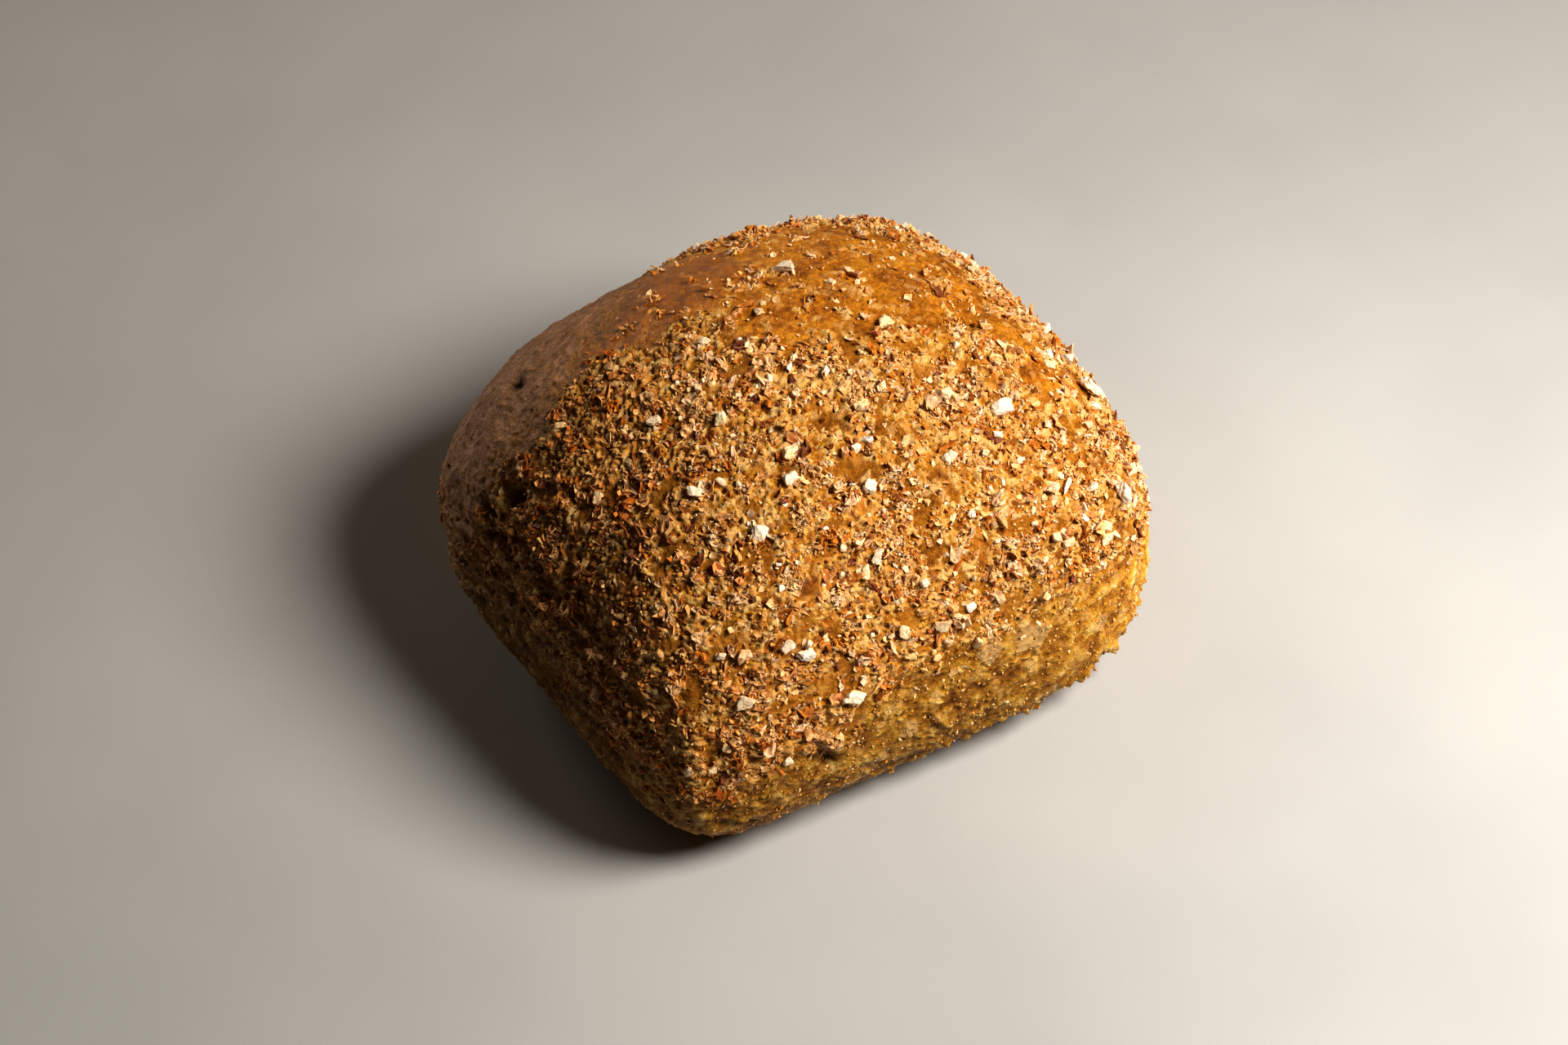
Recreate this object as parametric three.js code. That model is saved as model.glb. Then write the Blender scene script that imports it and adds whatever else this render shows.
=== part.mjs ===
// A square-cut wholegrain bread roll, baked as one piece and resting on its flat base.
// Millimetres, +Z up. The origin is the middle of the base, and the roll's sides run along X and Y.
import * as THREE from "three";

// Driving dimensions.
const HEIGHT = 50; // base to the top of the crown
const BELLY_HEIGHT = 14; // height of the widest part
const TUCK_DEPTH = 17; // how far below the belly the side would curl in to the axis
const CROWN_FULLNESS = 2.15; // 2 is an ellipse, and more is squarer in section
const TUCK_FULLNESS = 3;

// The four cut sides: the way each one faces in degrees from +X, and its distance from the axis.
const SIDES = [
  { name: "right", faces: 0.5, reach: 46.6 },
  { name: "back", faces: 90.5, reach: 43.6 },
  { name: "left", faces: 181, reach: 45.2 },
  { name: "front", faces: 267.7, reach: 41.8 },
];

// The four corners: each one's direction, and how square it is at the belly (ROUND is round).
const CORNERS = [
  { name: "back_right", faces: 45, squareness: 3.5 },
  { name: "back_left", faces: 135, squareness: 3.4 },
  { name: "front_left", faces: 225, squareness: 6.9 },
  { name: "front_right", faces: 315, squareness: 2.8 },
];
const CORNER_FOCUS = 4; // how fast one corner's squareness gives way to the next one's
const ROUND = 2;
const CROWN_ROUNDING = 1.6; // corners fade to round as the rise to this power

// Swells (out) and hollows (in) that baking left on the side, as a push along the radius.
const SWELLS = [
  { name: "front_left_pinch", faces: 226, height: 9, wide: 9, tall: 8, push: 0.9 },
  { name: "front_waist", faces: 282, height: 22, wide: 26, tall: 7, push: -0.8 },
  { name: "front_foot", faces: 290, height: 9, wide: 30, tall: 7, push: 0.7 },
  { name: "left_hollow", faces: 170, height: 20, wide: 9, tall: 6, push: -1.3 },
  { name: "left_waist", faces: 205, height: 16, wide: 16, tall: 10, push: -1.0 },
  { name: "right_foot", faces: 330, height: 10, wide: 14, tall: 6, push: 0.6 },
];

// Mesh fineness.
const SEGMENTS_AROUND = 88;
const BASE_RINGS = 4;
const TUCK_RINGS = 9;
const CROWN_RINGS = 24;

const CRUST = { color: new THREE.Color(0.7, 0.42, 0.15), roughness: 0.75, metalness: 0 };

const radians = THREE.MathUtils.degToRad;

// The lower half of the section: how far out the side is, as a share of the outline, at a height.
function tuckReach(height) {
  const below = (BELLY_HEIGHT - height) / TUCK_DEPTH;
  return (1 - below ** TUCK_FULLNESS) ** (1 / TUCK_FULLNESS);
}

// The section from the middle of the base, out round the belly and up to the top of the crown.
// x is a share of the outline's reach, and y is the height.
function sectionProfile() {
  const points = [];
  const baseReach = tuckReach(0);
  for (let i = 0; i < BASE_RINGS; i++) {
    points.push(new THREE.Vector2((baseReach * i) / BASE_RINGS, 0));
  }
  for (let i = 0; i < TUCK_RINGS; i++) {
    const height = BELLY_HEIGHT * (1 - Math.cos(((i / TUCK_RINGS) * Math.PI) / 2));
    points.push(new THREE.Vector2(tuckReach(height), height));
  }
  for (let i = 0; i < CROWN_RINGS; i++) {
    const turn = ((i / CROWN_RINGS) * Math.PI) / 2;
    const reach = Math.cos(turn) ** (2 / CROWN_FULLNESS);
    const rise = Math.sin(turn) ** (2 / CROWN_FULLNESS);
    points.push(new THREE.Vector2(reach, BELLY_HEIGHT + (HEIGHT - BELLY_HEIGHT) * rise));
  }
  points.push(new THREE.Vector2(0, HEIGHT));
  return points;
}

// How square the outline is: the corners' squareness, weighted by nearness, fading to the crown.
function squarenessAt(angle, height) {
  let total = 0;
  let weights = 0;
  for (const corner of CORNERS) {
    const weight = Math.exp(CORNER_FOCUS * (Math.cos(angle - radians(corner.faces)) - 1));
    total += weight * corner.squareness;
    weights += weight;
  }
  const rise = Math.max(0, (height - BELLY_HEIGHT) / (HEIGHT - BELLY_HEIGHT));
  return ROUND + (total / weights - ROUND) * (1 - rise ** CROWN_ROUNDING);
}

// The outline at a height: a superellipse drawn from its four sides.
function outlineReach(angle, height) {
  const squareness = squarenessAt(angle, height);
  let sum = 0;
  for (const side of SIDES) {
    const nearness = Math.max(0, Math.cos(angle - radians(side.faces)) / side.reach);
    sum += nearness ** squareness;
  }
  return sum ** (-1 / squareness);
}

// The push of all swells at an angle, a radius and a height.
function swellPush(angle, radius, height) {
  let push = 0;
  for (const swell of SWELLS) {
    const turn = angle - radians(swell.faces);
    const across = Math.atan2(Math.sin(turn), Math.cos(turn)) * radius;
    const up = height - swell.height;
    push += swell.push * Math.exp(-((across / swell.wide) ** 2) - (up / swell.tall) ** 2);
  }
  return push;
}

// A round body turned from the section, then each ring pulled out to the square outline.
function rollGeometry() {
  const geometry = new THREE.LatheGeometry(sectionProfile(), SEGMENTS_AROUND);
  geometry.rotateX(Math.PI / 2);
  const position = geometry.attributes.position;
  for (let i = 0; i < position.count; i++) {
    const share = Math.hypot(position.getX(i), position.getY(i));
    const angle = Math.atan2(position.getY(i), position.getX(i));
    const height = position.getZ(i);
    const radius = share * outlineReach(angle, height);
    const reach = radius + share * swellPush(angle, radius, height);
    position.setXYZ(i, reach * Math.cos(angle), reach * Math.sin(angle), height);
  }
  geometry.computeBoundingBox();
  const middle = geometry.boundingBox.getCenter(new THREE.Vector3());
  geometry.translate(-middle.x, -middle.y, 0);
  geometry.computeVertexNormals();
  return geometry;
}

const breadRoll = new THREE.Mesh(rollGeometry(), new THREE.MeshStandardMaterial(CRUST));
breadRoll.name = "bread_roll";

const part = new THREE.Group();
part.add(breadRoll);

export default part;
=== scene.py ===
"""A wholegrain bread roll: a modelled crust with its baked-on topping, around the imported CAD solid."""
import math

import bmesh
import bpy
import numpy as np
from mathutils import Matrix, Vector
from mathutils.bvhtree import BVHTree


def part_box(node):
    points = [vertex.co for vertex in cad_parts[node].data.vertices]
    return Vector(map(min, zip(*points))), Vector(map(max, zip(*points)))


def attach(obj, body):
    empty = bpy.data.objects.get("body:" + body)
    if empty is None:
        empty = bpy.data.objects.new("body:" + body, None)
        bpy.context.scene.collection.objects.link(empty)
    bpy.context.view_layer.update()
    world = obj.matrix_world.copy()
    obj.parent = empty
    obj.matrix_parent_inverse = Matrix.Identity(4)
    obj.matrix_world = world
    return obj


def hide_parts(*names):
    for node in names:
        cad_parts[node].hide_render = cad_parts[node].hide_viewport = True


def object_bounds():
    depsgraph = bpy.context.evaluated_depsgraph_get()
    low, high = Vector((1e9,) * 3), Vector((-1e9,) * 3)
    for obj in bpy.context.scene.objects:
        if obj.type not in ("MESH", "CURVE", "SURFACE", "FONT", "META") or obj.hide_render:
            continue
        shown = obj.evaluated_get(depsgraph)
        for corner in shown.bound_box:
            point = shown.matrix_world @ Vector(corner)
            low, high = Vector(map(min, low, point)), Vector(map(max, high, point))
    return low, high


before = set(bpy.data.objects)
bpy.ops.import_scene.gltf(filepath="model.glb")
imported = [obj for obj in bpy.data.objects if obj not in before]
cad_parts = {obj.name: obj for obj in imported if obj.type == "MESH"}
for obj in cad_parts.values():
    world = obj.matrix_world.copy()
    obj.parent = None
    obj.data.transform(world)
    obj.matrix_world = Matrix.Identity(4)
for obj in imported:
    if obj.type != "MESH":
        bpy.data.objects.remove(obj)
CAD_BOX = [list(corner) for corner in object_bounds()]

MM = 0.001
NODE = "bread_roll"
BODY = "root"

# Everything below is in millimetres in the part's own frame, until a mesh is made in metres.
LOW, HIGH = (np.array(corner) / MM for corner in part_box(NODE))


# ---------------------------------------------------------------- camera, light and floor

CAMERA_TURN = -32.7
CAMERA_TILT = 47.2  # degrees above the floor
CAMERA_DISTANCE = 0.5316
CAMERA_LENS = 85
AIM_FROM_MIDDLE = Vector((-3.6, -1.8, -8.3)) * MM
LIGHTS_AIM = Vector((0, 0, 0.02))


def camera_axes():
    """The level directions to the right of the camera and away from it."""
    turn = math.radians(CAMERA_TURN)
    right = Vector((math.cos(turn), math.sin(turn), 0))
    away = Vector((-math.sin(turn), math.cos(turn), 0))
    return right, away


def look_at(obj, target):
    obj.rotation_euler = (target - obj.location).to_track_quat("-Z", "Y").to_euler()


def add_camera():
    _, away = camera_axes()
    tilt = math.radians(CAMERA_TILT)
    middle = (Vector(CAD_BOX[0]) + Vector(CAD_BOX[1])) / 2
    aim = middle + AIM_FROM_MIDDLE
    camera = bpy.data.objects.new("camera", bpy.data.cameras.new("camera"))
    bpy.context.scene.collection.objects.link(camera)
    camera.location = aim - CAMERA_DISTANCE * (away * math.cos(tilt) - Vector((0, 0, math.sin(tilt))))
    look_at(camera, aim)
    camera.data.lens = CAMERA_LENS
    camera.data.clip_start = 0.01
    bpy.context.scene.camera = camera


def add_light(name, toward, distance, size, power, colour):
    """A round area light. Its direction is how far right, away and up it lies, for the camera."""
    right, away = camera_axes()
    rightward, backward, up = toward
    direction = (right * rightward + away * backward + Vector((0, 0, up))).normalized()
    light = bpy.data.lights.new(name, "AREA")
    light.shape = "DISK"
    light.size = size
    light.energy = power
    light.color = colour
    lamp = bpy.data.objects.new(name, light)
    bpy.context.scene.collection.objects.link(lamp)
    lamp.location = direction * distance
    look_at(lamp, LIGHTS_AIM)


def add_studio():
    add_light("key", (0.62, -0.19, 0.78), distance=0.38, size=0.18, power=2.38, colour=(1.0, 0.95, 0.86))
    add_light("fill", (-0.8, 0.1, 0.7), distance=1.0, size=0.8, power=0.05, colour=(1.0, 0.74, 0.52))
    add_light("back", (-0.60, 0.78, 0.16), distance=0.8, size=0.22, power=2.9, colour=(1.0, 0.86, 0.70))
    world = bpy.data.worlds.new("studio")
    bpy.context.scene.world = world
    world.use_nodes = True
    background = world.node_tree.nodes["Background"]
    background.inputs["Color"].default_value = (1.0, 0.64, 0.42, 1)
    background.inputs["Strength"].default_value = 0.015
    view = bpy.context.scene.view_settings
    view.view_transform = "Standard"
    view.look = "None"
    view.gamma = 0.8


# ---------------------------------------------------------------- node materials


class Surface:
    """A Principled material, with short calls for the nodes that drive it."""

    def __init__(self, name):
        self.material = bpy.data.materials.new(name)
        self.material.use_nodes = True
        self.tree = self.material.node_tree
        self.shader = self.tree.nodes["Principled BSDF"]
        coordinates = self.tree.nodes.new("ShaderNodeTexCoord").outputs["Object"]
        self.place = self.vector("SCALE", coordinates, scale=1 / MM)

    def put(self, value, socket):
        """Links a node's output to a socket, or sets the socket to a plain value."""
        if isinstance(value, bpy.types.NodeSocket):
            self.tree.links.new(value, socket)
        else:
            socket.default_value = value

    def set(self, **values):
        """Sets or links inputs of the shader; an input's name has _ for each space."""
        for name, value in values.items():
            self.put(value, self.shader.inputs[name.replace("_", " ")])

    def vector(self, operation, first, second=None, scale=None):
        node = self.tree.nodes.new("ShaderNodeVectorMath")
        node.operation = operation
        self.put(first, node.inputs[0])
        if second is not None:
            self.put(second, node.inputs[1])
        if scale is not None:
            self.put(scale, node.inputs["Scale"])
        return node.outputs[0]

    def math(self, operation, first, second=0.0):
        node = self.tree.nodes.new("ShaderNodeMath")
        node.operation = operation
        self.put(first, node.inputs[0])
        self.put(second, node.inputs[1])
        return node.outputs[0]

    def noise(self, size, detail=2.0, roughness=0.5, stretch=None, warp=0.0):
        """Noise about 0 to 1 with lumps of a size in millimetres."""
        node = self.tree.nodes.new("ShaderNodeTexNoise")
        place = self.place if stretch is None else self.vector("MULTIPLY", self.place, stretch)
        self.put(place, node.inputs["Vector"])
        node.inputs["Scale"].default_value = 1 / size
        node.inputs["Detail"].default_value = detail
        node.inputs["Roughness"].default_value = roughness
        node.inputs["Distortion"].default_value = warp
        return node.outputs["Fac"]

    def cell_tone(self, size):
        """A random shade of grey for each cell of a foam."""
        node = self.tree.nodes.new("ShaderNodeTexVoronoi")
        self.put(self.place, node.inputs["Vector"])
        node.inputs["Scale"].default_value = 1 / size
        return node.outputs["Color"]

    def attribute(self, name, output="Fac"):
        node = self.tree.nodes.new("ShaderNodeAttribute")
        node.attribute_name = name
        return node.outputs[output]

    def ramp(self, value, stops):
        """A colour, from (position, colour) stops."""
        node = self.tree.nodes.new("ShaderNodeValToRGB")
        elements = node.color_ramp.elements
        while len(elements) < len(stops):
            elements.new(0.5)
        for element, (position, colour) in zip(elements, stops):
            element.position = position
            element.color = (*colour, 1)
        self.put(value, node.inputs["Fac"])
        return node.outputs["Color"]

    def range(self, value, low, high, to_low=0.0, to_high=1.0):
        node = self.tree.nodes.new("ShaderNodeMapRange")
        node.interpolation_type = "SMOOTHSTEP"
        self.put(value, node.inputs["Value"])
        limits = {"From Min": low, "From Max": high, "To Min": to_low, "To Max": to_high}
        for name, number in limits.items():
            self.put(number, node.inputs[name])
        return node.outputs["Result"]

    def mix(self, factor, first, second, blend="MIX"):
        node = self.tree.nodes.new("ShaderNodeMix")
        node.data_type = "RGBA"
        node.blend_type = blend
        self.put(factor, node.inputs["Factor"])
        self.put(first if isinstance(first, bpy.types.NodeSocket) else (*first, 1), node.inputs["A"])
        self.put(second if isinstance(second, bpy.types.NodeSocket) else (*second, 1), node.inputs["B"])
        return node.outputs["Result"]

    def blend(self, factor, first, second):
        """A number between two numbers."""
        node = self.tree.nodes.new("ShaderNodeMix")
        self.put(factor, node.inputs["Factor"])
        self.put(first, node.inputs["A"])
        self.put(second, node.inputs["B"])
        return node.outputs["Result"]

    def average(self, first, second, share):
        """Two numbers mixed, with the second one's share."""
        rest = self.math("MULTIPLY", first, 1 - share)
        return self.math("ADD", rest, self.math("MULTIPLY", second, share))

    def bump(self, height, depth, strength=1.0):
        """Bumps as deep as depth, in millimetres."""
        node = self.tree.nodes.new("ShaderNodeBump")
        self.put(strength, node.inputs["Strength"])
        node.inputs["Distance"].default_value = depth * MM
        self.put(height, node.inputs["Height"])
        self.put(node.outputs["Normal"], self.shader.inputs["Normal"])


WARM = (1.0, 0.80, 0.50, 1)  # the baked surface's gloss is faintly amber


def crust_material():
    s = Surface("baked_crust")
    fine = s.noise(0.30, 3.0, 0.75)
    grain = s.noise(0.9, 3.0, 0.65, warp=0.6)
    patches = s.noise(6.0, 3.0, 0.6)
    mottle = s.noise(2.4, 3.0, 0.6)
    speck = s.cell_tone(0.45)
    topping = s.attribute("topping")
    dusty = s.attribute("dusty")
    bloom = s.attribute("bloom")
    wall = s.attribute("wall")
    recess_shade = s.attribute("recess_shade")
    peak_tone_and_shade = s.attribute("peak_tone_and_shade")
    plate = s.attribute("plate")
    tone = s.attribute("tone")
    blister = s.attribute("blister")
    base = s.attribute("underside")
    golden = s.attribute("golden")
    toasted = s.attribute("toasted")
    shaded = s.attribute("shaded")

    skin = s.ramp(s.average(patches, s.average(grain, speck, 0.3), 0.5), [
        (0.36, (0.22, 0.068, 0.002)), (0.5, (0.40, 0.150, 0.006)), (0.64, (0.58, 0.28, 0.030))])
    gold = s.ramp(s.average(patches, s.average(grain, speck, 0.3), 0.5), [
        (0.36, (0.26, 0.074, 0.002)), (0.47, (0.48, 0.165, 0.004)), (0.62, (0.76, 0.34, 0.020))])
    # Paler on the bumps and darker in the pits: partly the skin's own tone, partly painted shade.
    wall_tone = s.average(s.average(mottle, fine, 0.4), peak_tone_and_shade, 0.55)
    ochre = s.ramp(wall_tone, [
        (0.34, (0.14, 0.044, 0.001)), (0.43, (0.27, 0.100, 0.003)), (0.50, (0.40, 0.178, 0.010)),
        (0.57, (0.57, 0.310, 0.035)), (0.67, (0.84, 0.60, 0.22))])
    honey_with_painted_light = s.ramp(wall_tone, [
        (0.34, (0.25, 0.080, 0.002)), (0.43, (0.47, 0.178, 0.006)), (0.50, (0.70, 0.317, 0.018)),
        (0.57, (0.90, 0.515, 0.075)), (0.67, (0.96, 0.73, 0.34))])
    pale = s.range(s.average(mottle, patches, 0.35), 0.54, 0.64, 0.0, 0.55)
    ochre = s.mix(pale, ochre, (0.70, 0.45, 0.18))
    honey_with_painted_light = s.mix(pale, honey_with_painted_light, (0.93, 0.66, 0.32))
    mauve = s.ramp(s.average(s.average(fine, grain, 0.4), patches, 0.4), [
        (0.36, (0.24, 0.095, 0.040)), (0.47, (0.41, 0.200, 0.104)), (0.57, (0.56, 0.315, 0.190)),
        (0.66, (0.76, 0.48, 0.27))])
    amber = s.ramp(s.average(grain, fine, 0.5), [
        (0.36, (0.14, 0.042, 0.004)), (0.5, (0.32, 0.125, 0.016)), (0.62, (0.56, 0.29, 0.07))])
    bran = s.ramp(s.average(tone, grain, 0.25), [
        (0.12, (0.30, 0.075, 0.005)), (0.3, (0.58, 0.23, 0.025)), (0.5, (0.74, 0.40, 0.11)),
        (0.75, (0.84, 0.57, 0.24)), (0.9, (0.60, 0.27, 0.05))])
    # Paler on the peaks and darker between them: partly the meal's own tone, partly painted shade.
    meal = s.ramp(s.average(s.average(speck, fine, 0.4), peak_tone_and_shade, 0.45), [
        (0.30, (0.20, 0.060, 0.001)), (0.41, (0.42, 0.158, 0.003)), (0.50, (0.62, 0.285, 0.014)),
        (0.58, (0.78, 0.48, 0.10)), (0.68, (0.92, 0.74, 0.42))])

    colour = s.mix(golden, skin, gold)
    colour = s.mix(s.range(mottle, 0.52, 0.66, 0.0, 0.7), colour, (0.62, 0.48, 0.32), "MULTIPLY")
    colour = s.mix(s.math("MULTIPLY", toasted, 0.75), colour, s.ramp(s.average(grain, mottle, 0.5), [
        (0.4, (0.20, 0.050, 0.006)), (0.6, (0.46, 0.15, 0.014))]))
    # Partly painted light: the wall turns a brighter honey colour on its right, where the light falls.
    colour = s.mix(wall, colour, s.mix(golden, ochre, honey_with_painted_light))
    colour = s.mix(s.range(topping, 0.15, 0.8, 0.0, 0.85), colour, meal)
    plates = s.math("MULTIPLY", plate, s.range(s.average(topping, fine, 0.35), 0.2, 0.45, 0.25, 0.85))
    colour = s.mix(plates, colour, bran)
    streak = s.noise(0.8, 3.0, 0.65, stretch=(0.35, 1.0, 0.8))
    bloomed = s.range(s.average(s.average(mottle, streak, 0.6), bloom, 0.12), 0.46, 0.64)
    colour = s.mix(dusty, colour, s.mix(bloomed, amber, mauve))
    colour = s.mix(s.math("MULTIPLY", blister, 0.6), colour, (0.66, 0.45, 0.22))
    colour = s.mix(base, colour, s.ramp(s.noise(5.0, 4.0, 0.6), [
        (0.35, (0.22, 0.08, 0.012)), (0.65, (0.44, 0.20, 0.045))]))
    # Painted shade: darker low on the left side and the front, and in patches on the crown.
    colour = s.mix(s.math("MULTIPLY", shaded, 0.6), colour, (0.45, 0.36, 0.22), "MULTIPLY")
    # Painted shade, nearly black, in the hollows and furrows.
    colour = s.mix(s.math("MULTIPLY", recess_shade, 0.9), colour, (0.05, 0.013, 0.001))

    rough = s.blend(s.math("MAXIMUM", topping, plates), 0.34, 0.7)
    rough = s.blend(dusty, s.blend(wall, rough, 0.3), 0.52)
    rough = s.math("ADD", rough, s.range(grain, 0.3, 0.7, -0.08, 0.08))
    strength = s.blend(topping, s.blend(dusty, 0.85, 0.95), 0.9)
    s.bump(s.average(s.average(grain, fine, 0.55), speck, 0.15), 0.8, strength)
    s.set(Base_Color=colour, Roughness=rough, Specular_IOR_Level=0.4, Specular_Tint=WARM)
    s.set(Subsurface_Weight=0.2, Subsurface_Radius=(1.0, 0.6, 0.3), Subsurface_Scale=0.4 * MM)
    return s.material


PARTICLE_BUMP = 0.05  # millimetres


def topping_material(name, roughness, mottling, subsurface):
    """For scattered particles: each has its own tint, with grain and darker blotches over it."""
    s = Surface(name)
    tint = s.attribute("tint", "Color")
    grain = s.noise(0.35, 3.0, 0.65)
    blotch = s.noise(1.1, 2.0, 0.6)
    colour = s.mix(s.range(grain, 0.36, 0.58, mottling, 0.0), tint, (0.66, 0.34, 0.09), "MULTIPLY")
    stain = s.range(blotch, 0.45, 0.7, 0.0, 0.7 * mottling)
    colour = s.mix(stain, colour, (0.84, 0.55, 0.26), "MULTIPLY")
    rough = s.range(grain, 0.3, 0.7, roughness + 0.1, roughness - 0.1)
    s.bump(grain, PARTICLE_BUMP)
    s.set(Base_Color=colour, Roughness=rough, Specular_IOR_Level=0.3, Specular_Tint=WARM)
    s.set(Subsurface_Weight=subsurface, Subsurface_Radius=(1.0, 0.8, 0.6), Subsurface_Scale=0.3 * MM)
    return s.material


def floor_material():
    s = Surface("pale_floor")
    soft = s.noise(60.0, 3.0, 0.5)
    s.bump(s.noise(0.6, 2.0, 0.5), 0.05, 0.3)
    s.set(Base_Color=s.ramp(soft, [(0.3, (0.47, 0.47, 0.475)), (0.7, (0.52, 0.52, 0.52))]), Roughness=0.8)
    return s.material


# ---------------------------------------------------------------- small numeric tools


def smoothstep(value, low, high):
    share = np.clip((value - low) / (high - low), 0, 1)
    return share * share * (3 - 2 * share)


# Large numbers that stir the bits of a place and of a seed.
HASH_FACTORS = np.array([374761393, 668265263, 2246822519], np.uint32)
SEED_FACTOR = 40503
STIR_FACTOR = np.uint32(2654435761)

CORNERS = np.array([(i, j, k) for i in (0, 1) for j in (0, 1) for k in (0, 1)])
NEIGHBOURS = np.array([(i, j, k) for i in (-1, 0, 1) for j in (-1, 0, 1) for k in (-1, 0, 1)])


def hashed(cells, seed):
    """Three random numbers from 0 to 1 for each whole-number place."""
    mixed = (cells.astype(np.int32).view(np.uint32) * HASH_FACTORS).sum(1, dtype=np.uint32)
    mixed += np.uint32(seed * SEED_FACTOR)
    for _ in range(2):
        mixed = (mixed ^ (mixed >> np.uint32(15))) * STIR_FACTOR
    parts = np.stack([mixed >> np.uint32(shift) & np.uint32(1023) for shift in (2, 12, 22)], 1)
    return (parts + 0.5) / 1024


def gradient_noise(points, seed):
    base = np.floor(points)
    inside = points - base
    fade = inside**3 * (inside * (inside * 6 - 15) + 10)
    total = np.zeros(len(points))
    for corner in CORNERS:
        share = np.where(corner, fade, 1 - fade).prod(1)
        slope = 2 * hashed(base + corner, seed) - 1
        total += share * np.einsum("ij,ij->i", slope, inside - corner)
    return 1.5 * total


def perlin(points, size, octaves=1, seed=0):
    """Noise at each point, about -1 to 1, with lumps of a size in millimetres."""
    return sum(gradient_noise(points * 2**i / size, seed + 50 * i) / 2**i for i in range(octaves))


def cells_at(points, size, seed=0):
    """The cell of a random foam that each point is in: the distances to its seed and to the next seed,
    in cell sizes, the offset from its seed, and the cell's own random number."""
    scaled = points / size
    base = np.floor(scaled)
    first = np.full(len(points), 9.0)
    second = first.copy()
    offset = np.zeros_like(points)
    own = np.zeros(len(points))
    for step in NEIGHBOURS:
        cell = base + step
        away = scaled - cell - hashed(cell, 7 * seed)
        distance = np.einsum("ij,ij->i", away, away)
        closer = distance < first
        second = np.where(closer, first, np.minimum(second, distance))
        first = np.where(closer, distance, first)
        offset[closer] = away[closer]
        own[closer] = hashed(cell[closer], 7 * seed + 3)[:, 0]
    return np.sqrt(first), np.sqrt(second), offset, own


def near(points, place, radius):
    """1 at a place, falling smoothly to about a third a radius away and to nothing at twice that."""
    return np.exp(-((points - np.array(place)) ** 2).sum(1) / radius**2)


def bearing_of(points):
    return np.degrees(np.arctan2(points[:, 1], points[:, 0]))


# ---------------------------------------------------------------- crust

CRUST_GRID = 240  # quads along each edge of the cube that the crust's mesh is wrapped from
SMOOTHING_STEPS = 30


def cube_sphere(count):
    """Unit directions and outward quads of a sphere, made from the six gridded faces of a cube."""
    steps = np.tan(np.linspace(-math.pi / 4, math.pi / 4, count + 1))
    u, v = np.meshgrid(steps, steps, indexing="ij")
    corner = np.arange((count + 1) ** 2).reshape(count + 1, count + 1)
    ring = [corner[:-1, :-1], corner[1:, :-1], corner[1:, 1:], corner[:-1, 1:]]
    quad = np.stack(ring, -1).reshape(-1, 4)
    points, quads = [], []
    for axis in range(3):
        for sign in (1, -1):
            side = np.empty(u.shape + (3,))
            side[..., axis] = sign
            side[..., (axis + 1) % 3] = sign * u
            side[..., (axis + 2) % 3] = v
            quads.append(quad + len(points) * corner.size)
            points.append(side.reshape(-1, 3))
    points, quads = np.concatenate(points), np.concatenate(quads)
    _, first, merged = np.unique(np.round(points, 6), axis=0, return_index=True, return_inverse=True)
    points = points[first]
    return points / np.linalg.norm(points, axis=1, keepdims=True), merged.reshape(-1)[quads]


def wrap_on_cad(directions):
    """Each direction's point on the CAD solid, seen from the solid's middle."""
    source = bpy.data.objects[NODE].data
    vertices = [v.co / MM for v in source.vertices]
    tree = BVHTree.FromPolygons(vertices, [tuple(p.vertices) for p in source.polygons])
    centre = Vector((LOW + HIGH) / 2)
    reach = Vector((HIGH - LOW) / 2)
    far = 3 * reach.length
    points = np.empty((len(directions), 3))
    for i, direction in enumerate(directions):
        aim = Vector(direction) * reach
        aim.normalize()
        hit = tree.ray_cast(centre + aim * far, -aim)[0]
        points[i] = hit
    return points


def smooth(points, quads, steps):
    """Evens the surface out by moving each point halfway to its neighbours' mean, a number of times."""
    ends = np.concatenate([quads[:, [0, 1]], quads[:, [1, 2]], quads[:, [2, 3]], quads[:, [3, 0]]])
    count = np.bincount(ends[:, 0], minlength=len(points))[:, None]
    for _ in range(steps):
        beside = points[ends[:, 1]]
        total = [np.bincount(ends[:, 0], beside[:, axis], len(points)) for axis in range(3)]
        points = 0.5 * points + 0.5 * np.stack(total, 1) / count
    return points


def vertex_normals(points, quads):
    a, b, c, d = (points[quads[:, i]] for i in range(4))
    face = np.cross(c - a, d - b)
    normals = np.zeros_like(points)
    for i in range(4):
        for j in range(3):
            normals[:, j] += np.bincount(quads[:, i], face[:, j], len(points))
    return normals / np.linalg.norm(normals, axis=1, keepdims=True)


# Where the crust carries no topping: one dusty shoulder, and the side below a line that rises and falls.
DUSTY_MIDDLE = (-32, 42, 28)
DUSTY_RADIUS = 30.5
TOPPING_HEIGHT = 18.0
# Where the line rises or falls: the bearing in degrees, how many degrees it holds for, and how far.
TOPPING_RISES = ((-80, 40, 7.5), (-136, 15, -4.5), (178, 26, 3.5), (0, 30, 1.5))

# Patches on the crust: each one's middle, its reach and its strength.
GOLDEN_PLACES = (
    ((21, 10, 45), 18, 1.0),
    ((32, -14, 39), 8, 0.8),
    ((0, 24, 44), 14, 0.8),
    ((2, 9, 49), 12, 0.7),
)
BARE_PLACES = (
    ((-15, 21, 45), 9, 1.0),
    ((-3, 25, 44), 9, 1.0),
)
# Painted shade: darker patches on the crown, on the crust and on the topping over it.
PAINTED_SHADE_PLACES = (
    ((-20, 15, 45), 12, 0.55),
    ((12, 6, 48), 12, 0.4),
)


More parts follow.
